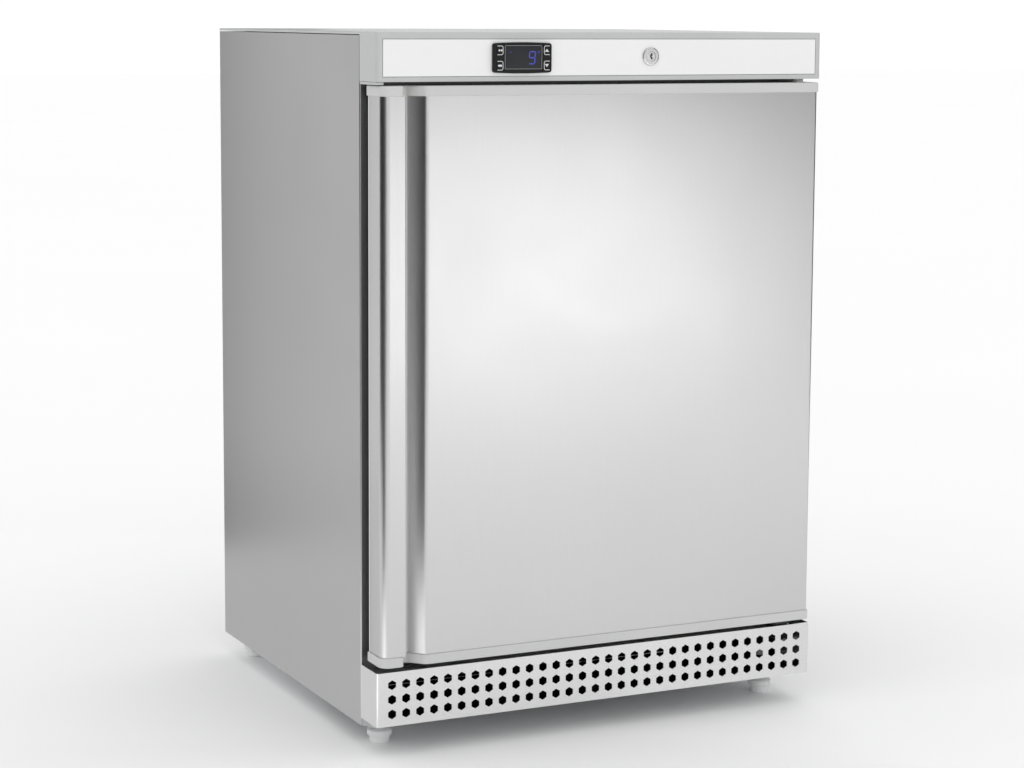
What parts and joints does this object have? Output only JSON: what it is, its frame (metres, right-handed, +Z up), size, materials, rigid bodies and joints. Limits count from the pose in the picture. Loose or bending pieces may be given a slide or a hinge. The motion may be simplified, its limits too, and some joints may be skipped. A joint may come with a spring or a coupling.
{
  "type": "undercounter refrigerator",
  "caption": "Undercounter refrigerator with a brushed steel door, full-height finger grip, key lock, digital controller and perforated base grille.",
  "frame": {"origin": "floor level, below the centre of the overall bounding box", "axes": "+Z up, front faces -Y, +X to the right as seen from the front"},
  "size_m": [0.6, 0.6, 0.855],
  "materials": {
    "door_steel": "vertical brushed grain, satin",
    "side_steel": "satin grey steel",
    "grille_steel": "fine satin",
    "cover_grey": "fine-textured grey paint",
    "fascia_grey": "moulded grey plastic",
    "label_white": "satin printed sheet",
    "cap_grey": "moulded grey plastic",
    "control_black": "black moulded plastic",
    "display_dark": "dark smoked window",
    "liner_white": "white moulded plastic",
    "foam_yellow": "rigid foam",
    "gasket_grey": "soft extruded gasket",
    "magnet_dark": "bonded magnet strip",
    "galvanised": "galvanised sheet",
    "black_steel": "black enamel",
    "lock_chrome": "bright plated",
    "zinc_hardware": "zinc plated",
    "nylon": "natural nylon",
    "shelf_wire": "plastic coated wire",
    "evaporator_alu": "roll-bonded sheet",
    "fan_black": "black moulded plastic",
    "copper": "copper tube",
    "grommet_rubber": "moulded rubber",
    "probe_plastic": "white plastic",
    "foot_plastic": "grey moulded plastic"
  },
  "bodies": {
    "cabinet": {"back_panel": "galvanised", "base_pan": "galvanised", "capillary_tube": "copper", "compressor": "black_steel", "compressor_grommets": "grommet_rubber", "condenser_coil": "black_steel", "condenser_wires": "black_steel", "controller_bezel": "control_black", "controller_body": "control_black", "discharge_pipe": "copper", "display_window": "display_dark", "drain_tube": "nylon", "drip_tray": "fan_black", "evaporator_plate": "evaporator_alu", "fan_frame": "fan_black", "fan_shroud": "liner_white", "fascia_housing": "fascia_grey", "fascia_label": "label_white", "filter_drier": "copper", "front_frame": "side_steel", "grille_panel": "grille_steel", "hinge_blank_strip": "fascia_grey", "hinge_pins": "zinc_hardware", "inner_liner": "liner_white", "insulation_foam": "foam_yellow", "lock_barrel": "lock_chrome", "lower_hinge_bracket": "black_steel", "machine_screws": "zinc_hardware", "mains_gland": "fan_black", "rear_spacers": "fan_black", "shelf_lower": "shelf_wire", "shelf_middle": "shelf_wire", "shelf_upper": "shelf_wire", "side_panel_left": "side_steel", "side_panel_right": "side_steel", "suction_pipe": "copper", "temperature_probe": "probe_plastic", "terminal_cover": "control_black", "top_cover": "cover_grey", "underbody_sheet": "galvanised", "upper_hinge_bracket": "black_steel"},
    "door": {"door_skin": "door_steel", "door_foam": "foam_yellow", "door_liner": "liner_white", "door_cap_top": "cap_grey", "door_cap_bottom": "cap_grey", "door_gasket": "gasket_grey", "gasket_magnet": "magnet_dark", "hinge_bushes": "nylon"},
    "lock": {"lock_plug": "lock_chrome", "lock_cam": "lock_chrome"},
    "fan": {"fan_blade": "fan_black"},
    "key_set": {"key_set": "control_black"},
    "key_light": {"key_light": "control_black"},
    "key_up": {"key_up": "control_black"},
    "key_down": {"key_down": "control_black"},
    "foot_front_left": {"foot_front_left": "foot_plastic"},
    "foot_front_right": {"foot_front_right": "foot_plastic"},
    "foot_rear_left": {"foot_rear_left": "foot_plastic"},
    "foot_rear_right": {"foot_rear_right": "foot_plastic"}
  },
  "joints": [
    {"name": "door_hinge", "type": "hinge", "parent": "cabinet", "child": "door", "pos_m": [0.277, -0.277, 0.45], "axis": [0, 0, 1], "range_deg": [0, 130]},
    {"name": "lock_turn", "type": "hinge", "parent": "cabinet", "child": "lock", "pos_m": [0.0575, -0.28, 0.8263], "axis": [0, 1, 0], "range_deg": [0, 90]},
    {"name": "fan_spin", "type": "hinge", "parent": "cabinet", "child": "fan", "pos_m": [0, 0.155, 0.702], "axis": [0, -1, 0], "continuous": true},
    {"name": "key_set_press", "type": "slide", "parent": "cabinet", "child": "key_set", "axis": [0, 1, 0], "range_m": [0, 0.0008], "stiffness_N_per_m": 800, "springref_m": -0.0005},
    {"name": "key_light_press", "type": "slide", "parent": "cabinet", "child": "key_light", "axis": [0, 1, 0], "range_m": [0, 0.0008], "stiffness_N_per_m": 800, "springref_m": -0.0005},
    {"name": "key_up_press", "type": "slide", "parent": "cabinet", "child": "key_up", "axis": [0, 1, 0], "range_m": [0, 0.0008], "stiffness_N_per_m": 800, "springref_m": -0.0005},
    {"name": "key_down_press", "type": "slide", "parent": "cabinet", "child": "key_down", "axis": [0, 1, 0], "range_m": [0, 0.0008], "stiffness_N_per_m": 800, "springref_m": -0.0005},
    {"name": "foot_front_left_height", "type": "slide", "parent": "cabinet", "child": "foot_front_left", "axis": [0, 0, -1], "range_m": [0, 0.012]},
    {"name": "foot_front_right_height", "type": "slide", "parent": "cabinet", "child": "foot_front_right", "axis": [0, 0, -1], "range_m": [0, 0.012]},
    {"name": "foot_rear_left_height", "type": "slide", "parent": "cabinet", "child": "foot_rear_left", "axis": [0, 0, -1], "range_m": [0, 0.012]},
    {"name": "foot_rear_right_height", "type": "slide", "parent": "cabinet", "child": "foot_rear_right", "axis": [0, 0, -1], "range_m": [0, 0.012]}
  ]
}
